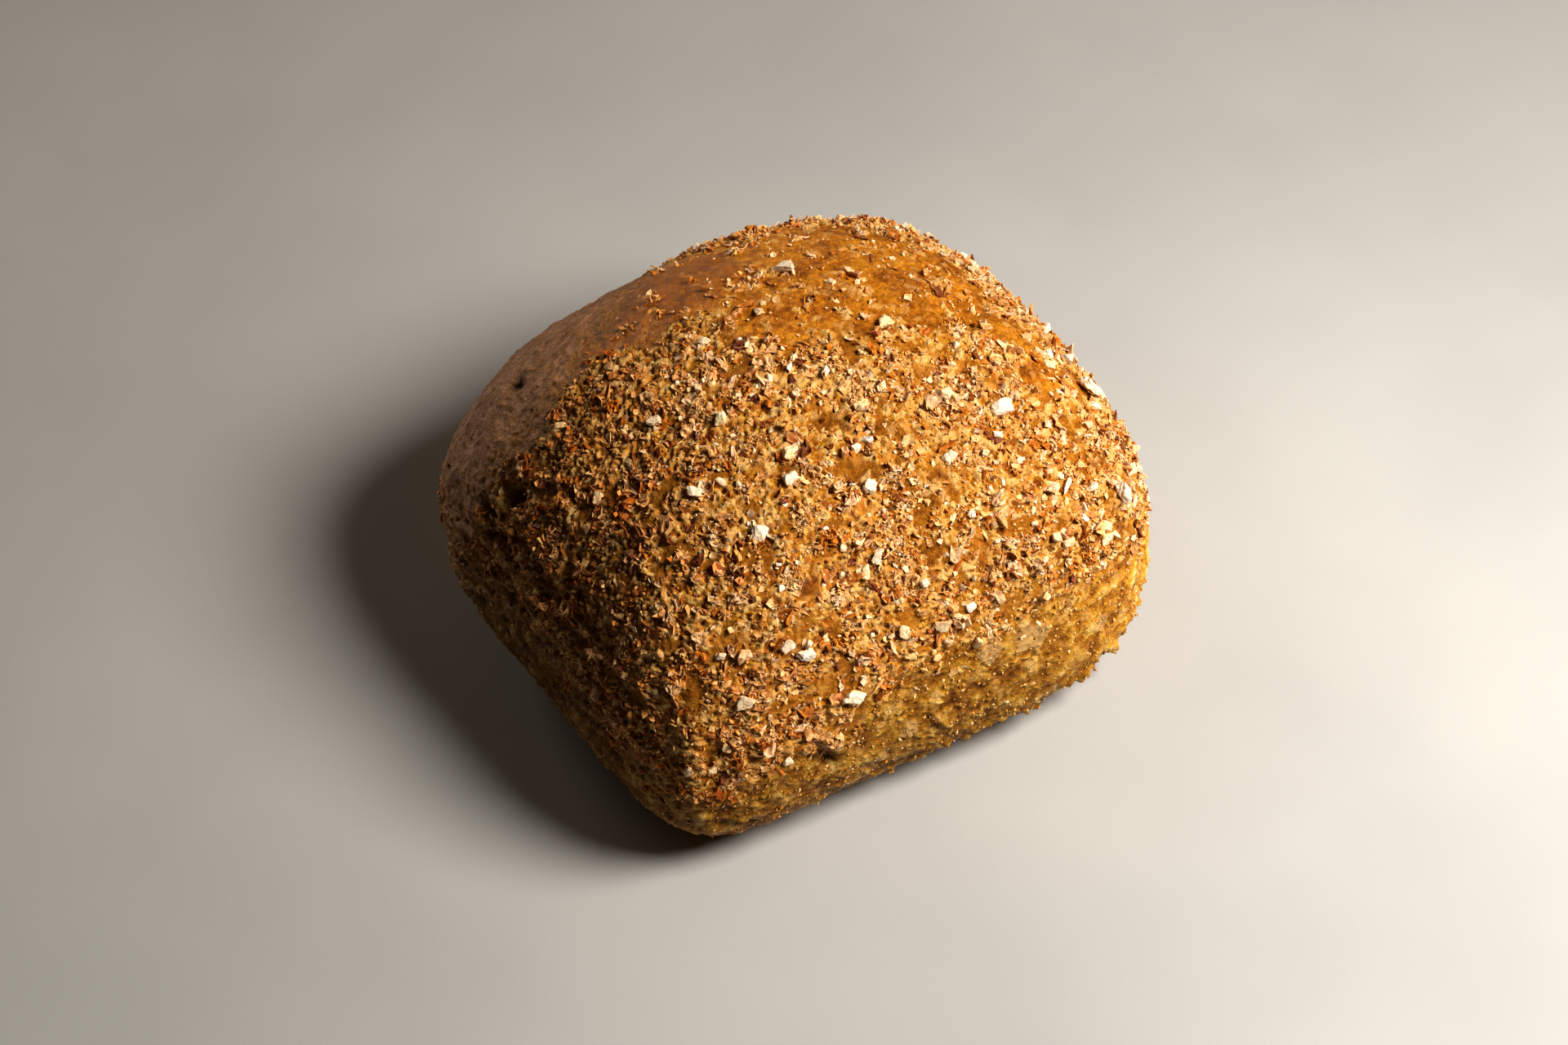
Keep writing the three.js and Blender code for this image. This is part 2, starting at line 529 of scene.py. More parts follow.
def topping_line(bearing):
    """The height down to which the topping reaches, for each bearing from the roll's middle."""
    line = np.full(len(bearing), TOPPING_HEIGHT)
    for middle, spread, rise in TOPPING_RISES:
        off = (bearing - middle + 180) % 360 - 180
        line += rise * np.exp(-((off / spread) ** 2))
    return line


def patches_at(points, places):
    """How strongly a set of patches is felt at each point."""
    return sum(strength * near(points, place, reach) for place, reach, strength in places)


def crust_masks(points, normals):
    """The share of each kind of surface at each point, 0 to 1."""
    z = points[:, 2]
    wander = perlin(points, 5.0, 3, seed=1)
    wide = perlin(points, 14.0, 2, seed=2)
    ragged = perlin(points, 2.2, 2, seed=20)
    from_dusty = np.linalg.norm(points - np.array(DUSTY_MIDDLE), axis=1)

    # The dusty shoulder, whose edge is softer and more uneven towards the back.
    behind = smoothstep(points[:, 1], 22, 40)
    from_dusty = from_dusty + behind * (5.0 * wide + 2.0 * wander)
    soft = 1.0 + 3.0 * behind
    dusty = smoothstep(from_dusty + 2.6 * wander + 1.2 * ragged, DUSTY_RADIUS + soft, DUSTY_RADIUS - soft)
    dusty *= smoothstep(z + 4.0 * wander, 9, 24)
    bloom = smoothstep(from_dusty + 2.6 * wander, DUSTY_RADIUS + 1.0, DUSTY_RADIUS - 8.0)

    # The bare side wall below the topping, and the skin that stayed golden, with painted light on the
    # wall's right side.
    line = topping_line(bearing_of(points)) + 2.0 * wide + 3.0 * wander
    above = smoothstep(z + 1.5 * ragged, line - 2.5, line + 2.5)
    wall = smoothstep(z, line + 2.0, line - 2.5)
    golden = np.clip(patches_at(points, GOLDEN_PLACES), 0, 1)
    golden = smoothstep(golden + 0.35 * wide + 0.25 * wander, 0.35, 0.75)
    # Painted light: the wall is golden towards its right, where the light falls.
    golden = np.maximum(golden, wall * smoothstep(points[:, 0] + 0.4 * points[:, 1], -14, 26))

    # The meal that is baked on, the heaps of loose bits over it, and the thin sprinkling all round.
    bare = smoothstep(patches_at(points, BARE_PLACES) + 0.2 * wander, 0.3, 0.7)
    coated = perlin(points, 3.6, 3, seed=12) + 0.25 * wide - 0.8 * golden * (1 - wall)
    coated = smoothstep(coated, -0.48, -0.05)
    topping = above * (1 - dusty) * (0.2 + 0.8 * coated) * (1 - 0.85 * bare)
    heaps = smoothstep(perlin(points, 4.5, 3, seed=44) - 0.32 * golden, -0.05, 0.25)
    heaped = topping * (0.06 + 0.94 * heaps)
    sprinkled = smoothstep(z, line - 9, line + 3) * (1 - dusty)
    sprinkled *= (0.35 + 0.65 * coated) * (1 - 0.8 * bare)

    # Skin that browned beside the dusty shoulder, and the base; then painted shade, darker low on the
    # left and low on the front, and in patches on the crown.
    edge = smoothstep(from_dusty + 2.6 * wander, DUSTY_RADIUS - 5, DUSTY_RADIUS)
    toasted = np.clip(bare + edge * smoothstep(from_dusty, DUSTY_RADIUS + 6, DUSTY_RADIUS), 0, 1)
    toasted *= smoothstep(points[:, 0], 16, -10) * smoothstep(points[:, 0], -34, -22)
    underside = smoothstep(normals[:, 2], -0.55, -0.85)
    shaded = smoothstep(points[:, 0] - 0.5 * points[:, 1], 5, -45) * smoothstep(z, 34, 8)
    shaded = np.maximum(shaded, 0.6 * smoothstep(z, 24, 5) * smoothstep(points[:, 0], 38, 12))
    shaded = np.maximum(shaded, 0.6 * patches_at(points, PAINTED_SHADE_PLACES))
    return {
        "topping": topping, "heaped": heaped, "sprinkled": sprinkled, "dusty": dusty, "bloom": bloom,
        "wall": wall, "golden": golden, "toasted": toasted, "shaded": shaded, "underside": underside,
    }


def groove(points, start, end, width, depth):
    """A furrow along a line: how deep it is at each point."""
    start, end = np.array(start, float), np.array(end, float)
    along = np.clip((points - start) @ (end - start) / ((end - start) ** 2).sum(), 0, 1)
    away = np.linalg.norm(points - (start + along[:, None] * (end - start)), axis=1)
    fade = np.sin(math.pi * np.clip(along, 0.02, 0.98)) ** 0.6
    return depth * fade * np.exp(-((away / width) ** 2))


# Hollows: where each one is, how wide and how deep.
HOLLOWS = (
    ((-40.4, 10.5, 33.0), 1.8, 3.0),  # torn cavity at the left shoulder
    ((-44.0, 11.5, 25.5), 1.6, 1.8),
    ((-42.2, 17.0, 24.0), 1.2, 1.2),
    ((-30.7, 25.6, 36.8), 1.6, 1.2),  # dimple in the dusty shoulder
    ((-21.5, -41.4, 15.4), 1.35, 1.9),  # burst bubble in the front
    ((-36.5, -38.5, 12.0), 1.6, 0.7),
)
# Furrows, and ridges where the depth is negative: both ends, how wide and how deep.
FURROWS = (
    ((-42.5, 16, 29), (-44.5, 3, 25), 1.2, 1.6),
    ((-43.5, 14, 22.5), (-45.0, 2, 20.5), 1.1, 1.4),
    ((-43.0, 18, 19), (-44.8, 8, 16), 1.0, 1.0),
    ((-44.6, -2, 14.5), (-43.8, -20, 13.0), 0.9, 0.9),
    ((-39.0, -38.5, 10), (-33.0, -41.0, 8), 0.8, 0.8),  # crescents at the front corner
    ((-41.5, -35.0, 13), (-37.0, -39.3, 12), 0.7, 0.6),
    ((-24.0, -41.0, 20.5), (-20.5, -41.5, 16.5), 0.6, 0.5),
    ((-17.0, -41.0, 22.0), (-15.8, -41.8, 16.0), 0.5, 0.6),
    ((6.0, -42.0, 13.0), (22.0, -41.5, 12.0), 0.8, 0.5),
    ((-42.5, -39.8, 6), (-38.0, -33.0, 32), 1.8, -0.9),  # ridge pinched up the front corner
    ((-43.5, 14.5, 27.0), (-45.0, 4.0, 23.0), 0.9, -0.9),
    ((-44.2, 12.5, 18.5), (-45.4, 0.0, 17.5), 0.9, -0.7),
    ((-23.2, -41.2, 21.0), (-20.2, -41.6, 17.6), 0.7, -0.5),  # rim of the burst bubble
    ((-17.4, -41.2, 20.5), (-16.2, -41.6, 16.5), 0.5, -0.5),
    ((-5.0, -42.0, 15.5), (-2.5, -42.4, 11.5), 0.6, -0.6),
)
# Blisters in the bare skin of the front: where each one is, and how wide.
BLISTERS = (
    ((4.5, -40.9, 22.6), 2.3),
    ((11.8, -41.4, 21.0), 3.0),
    ((-21.2, -41.0, 19.0), 1.8),
    ((-9.0, -42.0, 15.0), 1.5),
    ((-14.0, -42.0, 11.0), 1.2),
    ((24.0, -40.5, 15.0), 1.6),
)


def ridges(points, size, width, seed):
    """Thin winding ridges, 1 along their tops."""
    return np.clip(1 - np.abs(perlin(points, size, 2, seed)) / width, 0, 1)


def meal_relief(points, topping):
    """The crumbly coat: broken plates of bran at all heights and tilts, over crinkled meal."""
    warped = points + 0.35 * np.stack([perlin(points, 1.3, 1, seed=30 + axis) for axis in range(3)], 1)
    first, second, offset, own = cells_at(warped, 1.4, seed=5)
    lean = np.stack([(own * factor) % 1 - 0.5 for factor in (17.3, 31.7, 53.9)], 1)
    height = 0.05 + 0.32 * ((own * 91.7) % 1) + 0.6 * (offset * lean).sum(1)
    plate = smoothstep(second - first, 0.03, 0.16) * smoothstep(0.2 + 0.8 * topping - own, 0, 0.05)
    crinkle = 0.5 - 1.9 * np.abs(perlin(points, 1.2, 2, seed=13))
    crumble = perlin(points, 2.8, 3, seed=4)
    grit = perlin(points, 0.75, 2, seed=14)
    rough = 0.34 * crumble + 0.42 * crinkle + 0.3 * grit
    relief = topping * rough + (0.2 + 0.8 * topping) * plate * height
    # The peaks' share: paler colour where the coat stands high, painted shade where it lies low.
    peak_tone_and_shade = np.clip(0.42 + 0.85 * (rough + plate * height), 0, 1)
    return relief, peak_tone_and_shade, plate, (own * 211.3) % 1


def wall_relief(points, dimples):
    """The bare side's skin: lumpy, pitted, with thin raised creases."""
    pits = cells_at(points, 4.5, seed=7)[0]
    relief = 0.30 * perlin(points, 3.0, 3, seed=16) + 0.20 * perlin(points, 0.8, 2, seed=18)
    relief += 0.25 * ridges(points, 5.0, 0.06, seed=19)
    relief -= 0.10 * np.exp(-((dimples / 0.26) ** 2)) + 0.45 * np.exp(-((pits / 0.13) ** 2))
    return relief


def crust_relief(points, normals, masks):
    """How far the baked surface stands out from the smooth shape at each point, and what that marks."""
    z = points[:, 2]
    bearing = bearing_of(points)
    dusty, wall, base = masks["dusty"], masks["wall"], masks["underside"]
    crumble = perlin(points, 2.4, 3, seed=15)
    meal, peak_tone_and_shade, plate, tone = meal_relief(points, masks["topping"])
    relief = 0.5 * perlin(points, 11.0, 3, seed=3) + meal * (1 - base)

    # Fine pores and stretch marks in the dusty shoulder.
    skin_grain = perlin(points, 1.0, 2, seed=17)
    streaks = ridges(points * np.array([0.35, 1.0, 0.8]), 1.8, 0.12, seed=21)
    relief += dusty * (0.14 * crumble + 0.16 * skin_grain + 0.16 * streaks)
    relief += (1 - dusty) * (1 - wall) * (1 - masks["topping"]) * (0.15 * crumble + 0.14 * skin_grain)

    dimples = cells_at(points, 2.1, seed=6)[0]
    skin = wall_relief(points, dimples)
    relief += wall * skin
    peak_tone_and_shade = peak_tone_and_shade + wall * (np.clip(0.5 + 0.8 * skin, 0, 1) - peak_tone_and_shade)

    # Wrinkles that run level round the left side, where the skin sagged.
    left = np.exp(-(((np.abs(bearing) - 172) / 24) ** 2)) * smoothstep(z, 5, 11) * smoothstep(z, 36, 26)
    left *= 1 - 0.25 * dusty
    creased = perlin(points * np.array([0.4, 0.4, 1.0]), 3.4, 3, seed=8)
    relief += left * 0.9 * (0.4 - np.abs(creased) * 1.9)

    # Painted shade for the hollows and furrows below, strongest where they cut deepest.
    recess_shade = np.zeros(len(points))
    shaken = points + 0.5 * crumble[:, None]
    for place, radius, depth in HOLLOWS:
        bowl = near(shaken, place, radius)
        relief -= depth * bowl
        recess_shade = np.maximum(recess_shade, bowl * min(1, depth / 2))
    for start, end, width, depth in FURROWS:
        cut = groove(shaken, start, end, width, depth)
        relief -= cut
        recess_shade = np.maximum(recess_shade, np.clip(cut / 1.6, 0, 1) ** 1.5)

    # Ragged lip low on the front and right sides, where the roll broke away from its neighbour.
    lip = np.exp(-(((z - 6.5) / 2.4) ** 2)) * np.exp(-(((bearing + 62) / 40) ** 2))
    tooth = perlin(points, 2.1, 3, seed=11)
    relief += lip * (0.2 + 1.9 * np.clip(tooth - 0.1, 0, 1))

    blister = np.zeros(len(points))
    for place, radius in BLISTERS:
        blister = np.maximum(blister, near(points, place, radius))
    blister = smoothstep(blister + 0.4 * crumble, 0.35, 0.6)
    relief += 0.3 * blister

    base_relief = 0.12 * crumble - 0.25 * np.exp(-((dimples / 0.22) ** 2))
    relief = relief * (1 - base) + base_relief * base
    return relief, {"peak_tone_and_shade": peak_tone_and_shade, "plate": plate, "tone": tone, "recess_shade": recess_shade, "blister": blister}


def add_mesh(name, points, faces, smooth_faces=True):
    """A mesh object from points in millimetres and faces that all have the same number of sides."""
    mesh = bpy.data.meshes.new(name)
    sides = faces.shape[1]
    mesh.vertices.add(len(points))
    mesh.vertices.foreach_set("co", (points * MM).astype(np.float32).ravel())
    mesh.loops.add(faces.size)
    mesh.loops.foreach_set("vertex_index", faces.astype(np.int32).ravel())
    mesh.polygons.add(len(faces))
    mesh.polygons.foreach_set("loop_start", np.arange(0, faces.size, sides, dtype=np.int32))
    mesh.update(calc_edges=True)
    mesh.polygons.foreach_set("use_smooth", np.full(len(faces), smooth_faces))
    mesh.validate()
    obj = bpy.data.objects.new(name, mesh)
    bpy.context.scene.collection.objects.link(obj)
    return obj


def set_attribute(obj, name, values):
    """A number or a colour for each vertex."""
    values = np.asarray(values, np.float32)
    if values.ndim == 1:
        layer = obj.data.attributes.new(name, "FLOAT", "POINT")
        layer.data.foreach_set("value", values)
    else:
        layer = obj.data.color_attributes.new(name, "FLOAT_COLOR", "POINT")
        opaque = np.ones((len(values), 1), np.float32)
        layer.data.foreach_set("color", np.hstack([values, opaque]).ravel())


def finish_piece(obj, material, replaces=None):
    obj.data.materials.append(material)
    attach(obj, BODY)
    if replaces:
        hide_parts(replaces)


def make_crust():
    """The crust. Returns its points, quads and normals, and its masks."""
    directions, quads = cube_sphere(CRUST_GRID)
    points = wrap_on_cad(directions)
    points = smooth(points, quads, SMOOTHING_STEPS)
    normals = vertex_normals(points, quads)
    masks = crust_masks(points, normals)
    relief, marks = crust_relief(points, normals, masks)
    points = points + normals * relief[:, None]
    points[:, 2] = np.maximum(points[:, 2], 0)
    crust = add_mesh("crust", points, quads)
    for name, values in (masks | marks).items():
        set_attribute(crust, name, values)
    finish_piece(crust, crust_material(), NODE)
    return (points, quads, vertex_normals(points, quads)), masks


# ---------------------------------------------------------------- topping

# Tints of the topping, each with how often it comes.
MEAL_TINTS = (
    (0.28, (0.82, 0.52, 0.20)),
    (0.34, (0.90, 0.69, 0.39)),
    (0.16, (0.64, 0.29, 0.04)),
    (0.18, (0.93, 0.82, 0.64)),
    (0.04, (0.32, 0.10, 0.010)),
)
BARE_TINTS = (
    (0.35, (0.74, 0.46, 0.13)),
    (0.40, (0.86, 0.66, 0.34)),
    (0.10, (0.46, 0.19, 0.015)),
    (0.15, (0.90, 0.74, 0.45)),
)
SHARD_TINTS = (
    (0.26, (0.80, 0.50, 0.20)),
    (0.30, (0.90, 0.68, 0.40)),
    (0.15, (0.58, 0.25, 0.035)),
    (0.20, (0.93, 0.81, 0.63)),
    (0.05, (0.28, 0.09, 0.012)),
    (0.02, (0.46, 0.20, 0.07)),
)
FLAKE_TINTS = (
    (0.30, (0.86, 0.62, 0.35)),
    (0.18, (0.78, 0.48, 0.23)),
    (0.30, (0.93, 0.79, 0.62)),
    (0.10, (0.58, 0.26, 0.05)),
    (0.03, (0.42, 0.19, 0.07)),
    (0.07, (0.26, 0.10, 0.035)),
    (0.04, (0.30, 0.11, 0.07)),
)
CHIP_TINTS = (
    (0.55, (0.95, 0.89, 0.78)),
    (0.45, (0.90, 0.76, 0.54)),
)


def painted_shade_at(places):
    """How much painted shade darkens the topping at each place: low on the left, and in patches on the
    crown.
    """
    leftward = 0.5 * places[:, 1] - places[:, 0]
    low_left = smoothstep(leftward + 0.6 * (30 - places[:, 2]), -4, 36)
    return np.clip(low_left + patches_at(places, PAINTED_SHADE_PLACES), 0, 1)


def draw_tints(rng, tints, count):
    chances = np.array([chance for chance, _ in tints])
    colours = np.array([colour for _, colour in tints])
    picked = colours[rng.choice(len(tints), count, p=chances / chances.sum())]
    return np.clip(picked * rng.uniform(0.82, 1.15, (count, 1)), 0, 0.95)


def scatter(rng, surface, weights, count):
    """Random places on the crust, more of them where the weights are higher, and its normals there."""
    points, quads, normals = surface
    a, b, c, d = (points[quads[:, i]] for i in range(4))
    area = 0.5 * np.linalg.norm(np.cross(c - a, d - b), axis=1)
    chance = area * weights[quads].mean(1)
    quad = rng.choice(len(quads), count, p=chance / chance.sum())
    u, v = rng.random((2, count, 1))
    corners = points[quads[quad]]
    place = ((1 - u) * (1 - v) * corners[:, 0] + u * (1 - v) * corners[:, 1]
             + u * v * corners[:, 2] + (1 - u) * v * corners[:, 3])
    normal = normals[quads[quad]].mean(1)
    return place, normal / np.linalg.norm(normal, axis=1, keepdims=True)


def settle(rng, normals, tilt):
    """A turned frame for each particle: its own z near the crust's normal, and a random heading."""
    up = normals + tilt * rng.normal(size=normals.shape)
    up /= np.linalg.norm(up, axis=1, keepdims=True)
    heading = rng.normal(size=normals.shape)
    heading -= (heading * up).sum(1, keepdims=True) * up
    heading /= np.linalg.norm(heading, axis=1, keepdims=True)
    return np.stack([heading, np.cross(up, heading), up], 2)


ROOT_GLAZE_AND_SHADE = np.array((0.72, 0.41, 0.12))  # what the glaze and painted shade at a particle's root leave of its tint
CLEAR = 1.05  # how bright a particle's tint is at its top, above the glaze and painted shade
PAINTED_SHADE_TINT = np.array((0.76, 0.61, 0.40))  # what the deepest painted shade leaves of a tint


def build_particles(rng, name, material, kinds, tints, lie, rise=0.8):
    """One mesh of many closed particles, each a scaled and turned copy of one of the shapes. Each is
    darker at its root, partly the glaze that holds it and partly painted shade, fading out upwards,
    sooner for a lower rise."""
    shapes, faces = kinds
    axes, frames, places = lie
    picks = rng.integers(len(shapes), size=len(places))
    tints = draw_tints(rng, tints, len(places))
    # Painted shade: tints darkened low on the left and in patches on the crown.
    tints = tints * (1 - (1 - PAINTED_SHADE_TINT) * painted_shade_at(places)[:, None])
    local = shapes[picks] * axes[:, None, :]
    world = np.einsum("nij,nvj->nvi", frames, local) + places[:, None, :]
    offsets = shapes.shape[1] * np.arange(len(picks))[:, None, None]
    all_faces = (faces[None] + offsets).reshape(-1, faces.shape[1])
    obj = add_mesh(name, world.reshape(-1, 3), all_faces, smooth_faces=False)
    # Painted shade at each particle's root, with the glaze colour, fading towards its top.
    lift = ((world - places[:, None, :]) * frames[:, None, :, 2]).sum(2)
    low, high = lift.min(1, keepdims=True), lift.max(1, keepdims=True)
    clear = ((lift - low) / (high - low + 1e-6))[..., None] ** rise
    glazed_and_shaded = tints[:, None, :] * (ROOT_GLAZE_AND_SHADE + (CLEAR - ROOT_GLAZE_AND_SHADE) * clear)
    set_attribute(obj, "tint", glazed_and_shaded.reshape(-1, 3))
    finish_piece(obj, material)


def ball(subdivisions):
    """A unit sphere of triangles: 8 faces for 0 subdivisions, else an icosphere's."""
    if subdivisions == 0:
        points = np.array([(1, 0, 0), (-1, 0, 0), (0, 1, 0), (0, -1, 0), (0, 0, 1), (0, 0, -1)], float)
        faces = [(0, 2, 4), (2, 1, 4), (1, 3, 4), (3, 0, 4), (2, 0, 5), (1, 2, 5), (3, 1, 5), (0, 3, 5)]
        return points, np.array(faces)
    mesh = bpy.data.meshes.new("ball")
    bm = bmesh.new()
    bmesh.ops.create_icosphere(bm, subdivisions=subdivisions, radius=1)
    bm.to_mesh(mesh)
    bm.free()
    points = np.array([v.co for v in mesh.vertices])
    faces = np.array([tuple(p.vertices) for p in mesh.polygons])
    bpy.data.meshes.remove(mesh)
    return points, faces


def jagged_shapes(rng, count, subdivisions, jag):
    """Irregular grains about 1 across: spheres whose corners are pushed in and out."""
    points, faces = ball(subdivisions)
    pushes = [rng.uniform(1 - jag, 1 + jag, (len(points), 1)) for _ in range(count)]
    return np.array([0.5 * points * push for push in pushes]), faces


def clump_shapes(rng, count, grains):
    """Flat heaps about 1 across of small curled scales that stick together."""
    scales, faces = flake_shapes(rng, 20, spokes=5, rings=(1.0,), thickness=0.16)
    shapes = []
    for _ in range(count):
        turns = np.linalg.qr(rng.normal(size=(grains, 3, 3)) + (0, 0, 1) * np.eye(3))[0]
        grain = scales[rng.integers(len(scales), size=grains)] @ turns
        sizes = rng.uniform(0.25, 0.55, (grains, 1, 1))
        centres = rng.normal(size=(grains, 1, 3)) * (0.25, 0.25, 0.10)
        shapes.append((grain * sizes + centres).reshape(-1, 3))
    offsets = scales.shape[1] * np.arange(grains)[:, None, None]
    return np.array(shapes), (faces[None] + offsets).reshape(-1, 3)


PLANE_LEAN = np.repeat([0.22, 1], [6, 3])  # six planes nearly square to each other, and three at random


def cut_shapes(rng, count, subdivisions, jag):
    """Blocky grains about 1 across: spheres cut by planes."""
    points, faces = ball(subdivisions)
    shapes = []
    for _ in range(count):
        planes = np.vstack([np.eye(3), -np.eye(3), np.zeros((3, 3))])
        planes += rng.normal(size=planes.shape) * PLANE_LEAN[:, None]
        planes /= np.linalg.norm(planes, axis=1, keepdims=True)
        reach = rng.uniform(0.38, 0.62, len(planes))
        facing = np.maximum(points @ planes.T, 1e-3)
        radius = np.minimum((reach / facing).min(1), 1) * rng.uniform(1 - jag, 1 + jag, len(points))
        shapes.append(0.95 * points * radius[:, None])
    return np.array(shapes), faces


def flake_shapes(rng, count, spokes, rings, thickness):
    """Thin curled flakes about 1 across, with broken outlines."""
    shapes = []
    for _ in range(count):
        angles = np.linspace(0, 2 * math.pi, spokes, endpoint=False) + rng.uniform(-0.25, 0.25, spokes)
        outline = 0.5 * rng.uniform(0.55, 1.15, spokes)
        curl = rng.uniform(-0.3, 0.9)
        twist = rng.uniform(-0.7, 0.7)
        rows = [np.zeros((1, 2))]
        for ring in rings:
            rows.append(ring * outline[:, None] * np.column_stack([np.cos(angles), np.sin(angles)]))
        flat = np.vstack(rows)
        lift = curl * flat[:, 0] ** 2 + twist * flat[:, 0] * flat[:, 1]
        lift = lift + 0.08 * rng.normal(size=len(flat))
        thick = np.full(len(flat), thickness / 2)
        thick[-spokes:] *= 0.6
        upper_side = np.column_stack([flat, lift + thick])
        lower_side = np.column_stack([flat, lift - thick])
        shapes.append(np.vstack([upper_side, lower_side]))
    sheet = 1 + len(rings) * spokes
    faces = []
    for here in range(spokes):
        after = (here + 1) % spokes
        upper = [(0, 1 + here, 1 + after)]
        for ring in range(len(rings) - 1):
            inner, outer = 1 + ring * spokes, 1 + (ring + 1) * spokes
            upper += [(inner + here, outer + here, outer + after)]
            upper += [(inner + here, outer + after, inner + after)]
        faces += upper
        faces += [tuple(sheet + i for i in reversed(face)) for face in upper]
        edge, edge_after = sheet - spokes + here, sheet - spokes + after
        faces += [(edge, sheet + edge, sheet + edge_after), (edge, sheet + edge_after, edge_after)]
    return np.array(shapes), np.array(faces)


def stretched(rng, size, stretch):
    """Each particle's length, width and thickness, from its size and the span of each of the three."""
    return size[:, None] * np.column_stack([rng.uniform(low, high, len(size)) for low, high in stretch])


def spread(rng, surface, weights, count, sizes, stretch, tilt, lift):
    """Where a kind of particle lies: its sizes along its own axes, its frame and its place. Sizes are
    the smallest, the largest, and a power that makes large ones rare; lift is in sizes."""
    places, normals = scatter(rng, surface, weights, count)
    smallest, largest, rarity = sizes
    size = smallest + (largest - smallest) * rng.random(count) ** rarity
    axes = stretched(rng, size, stretch)
    frames = settle(rng, normals, tilt)
    return axes, frames, places + normals * (lift * size)[:, None]


def make_meal(surface, masks):
    """The finest grains, which sugar the whole top and lie thicker in clusters."""
    rng = np.random.default_rng(11)
    kinds = jagged_shapes(rng, 24, subdivisions=0, jag=0.35)
    material = topping_material("bran_meal", roughness=0.6, mottling=0.4, subsurface=0.2)
    bare = (1 - masks["underside"]) * masks["wall"] * (1 - masks["topping"]) * (1 - masks["dusty"])
    for name, count, weights, lift, tints in (("meal_low", 5000, masks["sprinkled"], 0.10, MEAL_TINTS),
                                              ("meal_high", 3000, masks["heaped"], 0.5, MEAL_TINTS),
                                              ("meal_bare", 3000, bare, 0.05, BARE_TINTS)):
        lie = spread(rng, surface, weights, count, sizes=(0.26, 0.68, 1.6),
                     stretch=((0.8, 1.5), (0.7, 1.1), (0.5, 1.0)), tilt=0.6, lift=lift)
        build_particles(rng, name, material, kinds, tints, lie)


def make_shards(surface, masks):
    """Small broken bran, thin and sharp-edged, lying at all angles."""
    rng = np.random.default_rng(12)
    kinds = flake_shapes(rng, 40, spokes=5, rings=(1.0,), thickness=0.16)
    material = topping_material("bran_shards", roughness=0.5, mottling=0.4, subsurface=0.25)
    weights = 0.85 * masks["heaped"] + 0.15 * masks["sprinkled"]
    lie = spread(rng, surface, weights, 7000, sizes=(0.45, 1.5, 1.8),
                 stretch=((0.9, 1.5), (0.55, 1.0), (0.8, 1.4)), tilt=0.42, lift=0.12)
    build_particles(rng, "bran_shards", material, kinds, SHARD_TINTS, lie)


def make_clumps(surface, masks):
    """Crumbs of meal that stuck together."""
    rng = np.random.default_rng(13)
    kinds = clump_shapes(rng, 30, grains=11)
    material = topping_material("bran_clumps", roughness=0.55, mottling=0.4, subsurface=0.25)
    lie = spread(rng, surface, masks["heaped"], 1300, sizes=(0.9, 2.7, 1.8),
                 stretch=((0.8, 1.3), (0.6, 1.1), (0.7, 1.2)), tilt=0.3, lift=0.02)
    build_particles(rng, "bran_clumps", material, kinds, MEAL_TINTS, lie)


def make_flakes(surface, masks):
    """Whole bran flakes, thin and curled, a few of them standing on edge."""
    rng = np.random.default_rng(14)
    kinds = flake_shapes(rng, 40, spokes=8, rings=(0.55, 1.0), thickness=0.09)
    material = topping_material("bran_flakes", roughness=0.5, mottling=0.5, subsurface=0.3)
    weights = 0.7 * masks["heaped"] + 0.3 * masks["topping"] + 0.02 * masks["sprinkled"]
    lie = spread(rng, surface, weights, 1700, sizes=(0.9, 3.0, 2.4),
                 stretch=((0.9, 1.3), (0.45, 0.85), (0.8, 1.5)), tilt=0.3, lift=0.08)
    build_particles(rng, "bran_flakes", material, kinds, FLAKE_TINTS, lie)


def make_husks(surface, masks):
    """Long thin strips of husk."""
    rng = np.random.default_rng(16)
    kinds = flake_shapes(rng, 16, spokes=8, rings=(0.55, 1.0), thickness=0.12)
    material = topping_material("bran_husks", roughness=0.55, mottling=0.5, subsurface=0.4)
    lie = spread(rng, surface, masks["topping"] ** 2, 60, sizes=(2.0, 4.2, 1.5),
                 stretch=((1.0, 1.2), (0.14, 0.26), (0.3, 0.5)), tilt=0.08, lift=0.03)
    build_particles(rng, "bran_husks", material, kinds, FLAKE_TINTS, lie)


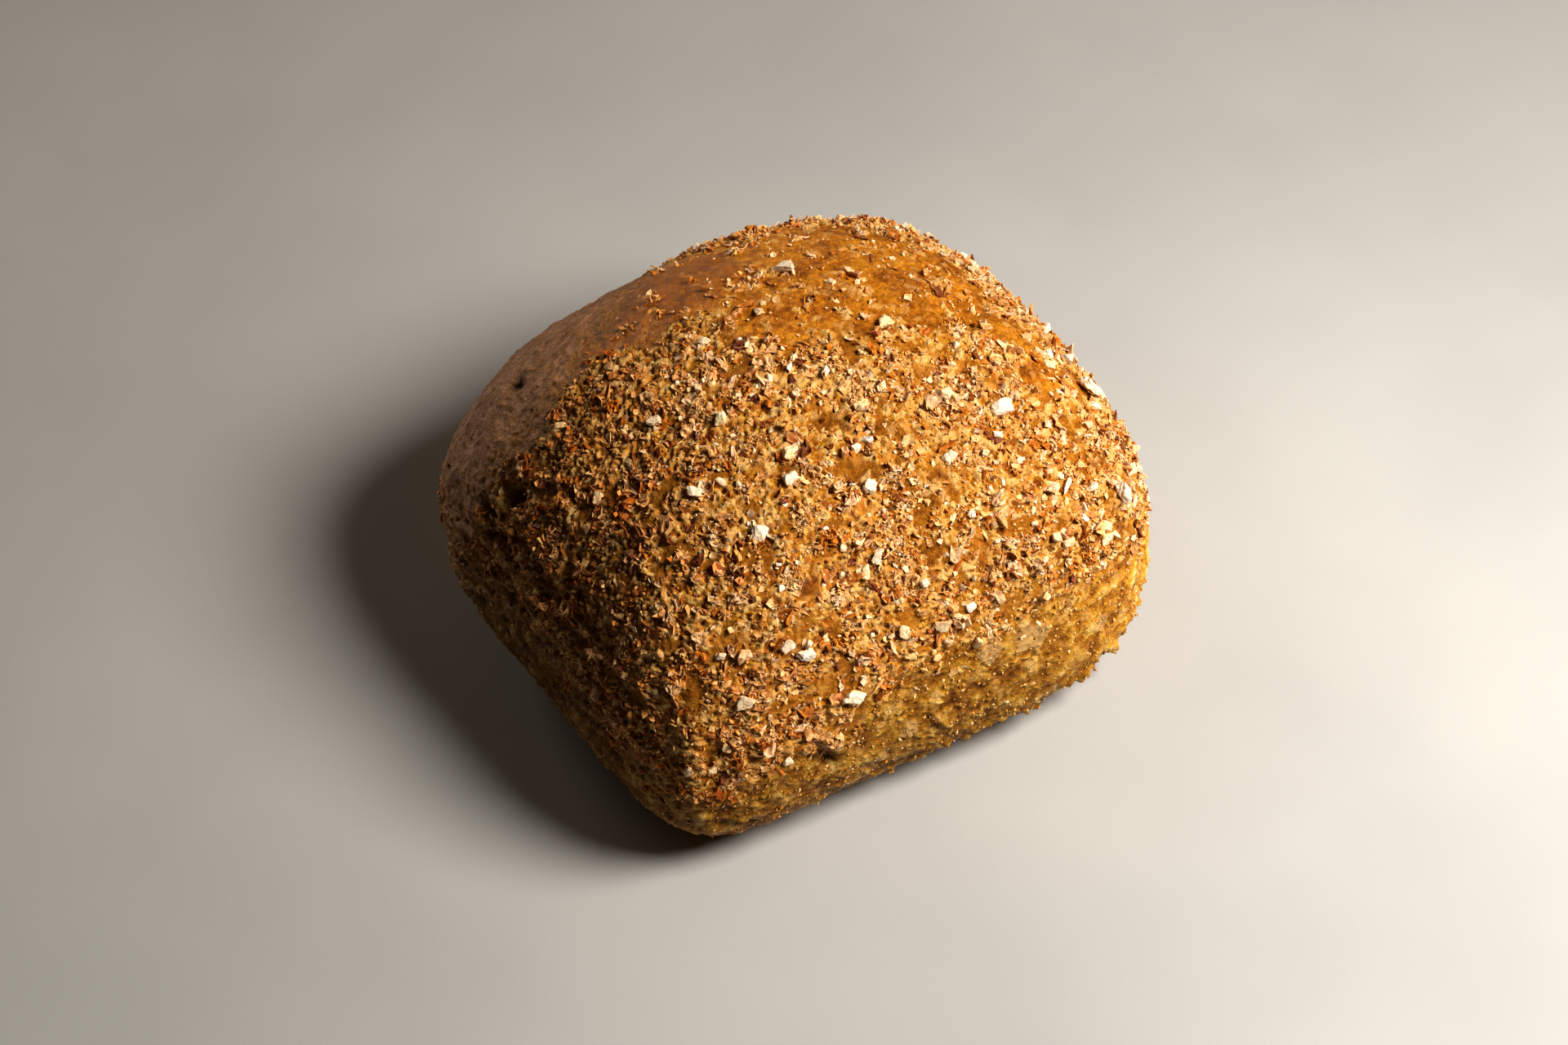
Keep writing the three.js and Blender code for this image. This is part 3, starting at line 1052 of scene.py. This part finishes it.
# The largest chips of cracked grain: where each lies and how big it is.
LARGE_CHIPS = (
    (-21, -22, 43, 2.1), (7, 14, 48, 2.6), (19, -21, 44, 2.6), (-17, -40, 25, 2.6), (-22, -36, 33, 2.1),
    (-24, -34, 34, 1.6), (-32, -36, 29, 1.9), (33, -32, 29, 2.8), (-23, 0, 46, 1.9), (-16, 0, 48, 1.6),
    (-22, 13, 45, 1.9), (12, -3, 49, 1.9), (10, -25, 43, 1.4), (-16, -6, 48, 2.3), (20, -37, 31, 1.9),
    (-13, -19, 46, 2.1), (23, -31, 36, 1.9), (-25, -13, 45, 1.9), (-8, -38, 31, 2.1), (-2, -39, 29, 1.9),
    (-12, -16, 47, 2.3), (-5, -24, 44, 2.3), (-32, 11, 41, 1.6), (8, -25, 44, 1.9), (38, -17, 34, 3.0),
    (-40, -36, 21, 1.5), (-38, -37, 20, 1.3), (36, -20, 33, 1.8), (32, -24, 34, 1.5), (33, -12, 38, 1.7),
    (25, -24, 40, 1.4), (37, -28, 28, 1.9), (35, -32, 26, 1.3),
)


def on_crust(surface, places):
    """The crust's point nearest to each place, and its normal there."""
    points, _, normals = surface
    nearest = [np.argmin(((points - place) ** 2).sum(1)) for place in places]
    return points[nearest], normals[nearest]


def make_chips(surface, masks):
    """White chips of cracked grain: the largest at their own places, the small ones anywhere."""
    rng = np.random.default_rng(15)
    kinds = cut_shapes(rng, 24, subdivisions=3, jag=0.10)
    material = topping_material("grain_chips", roughness=0.7, mottling=0.45, subsurface=0.2)
    stretch = ((0.85, 1.15), (0.6, 0.9), (0.35, 0.6))
    axes, frames, places = spread(rng, surface, masks["topping"], 170, sizes=(0.6, 1.8, 2.0),
                                  stretch=stretch, tilt=0.3, lift=0.3)
    large = np.array(LARGE_CHIPS, float)
    size = large[:, 3]
    spots, normals = on_crust(surface, large[:, :3])
    axes = np.vstack([axes, stretched(rng, size, stretch)])
    frames = np.concatenate([frames, settle(rng, normals, tilt=0.15)])
    places = np.vstack([places, spots + 0.36 * normals * size[:, None]])
    build_particles(rng, "grain_chips", material, kinds, CHIP_TINTS, (axes, frames, places), rise=0.3)


FLOOR_REACH = 1500.0


def add_floor():
    corners = np.array([(-1, -1, 0), (1, -1, 0), (1, 1, 0), (-1, 1, 0)]) * FLOOR_REACH
    floor = add_mesh("floor", corners, np.array([[0, 1, 2, 3]]))
    floor.data.materials.append(floor_material())


add_camera()
add_studio()
add_floor()
crust, kinds_of_crust = make_crust()
for make in (make_meal, make_shards, make_clumps, make_flakes, make_husks, make_chips):
    make(crust, kinds_of_crust)
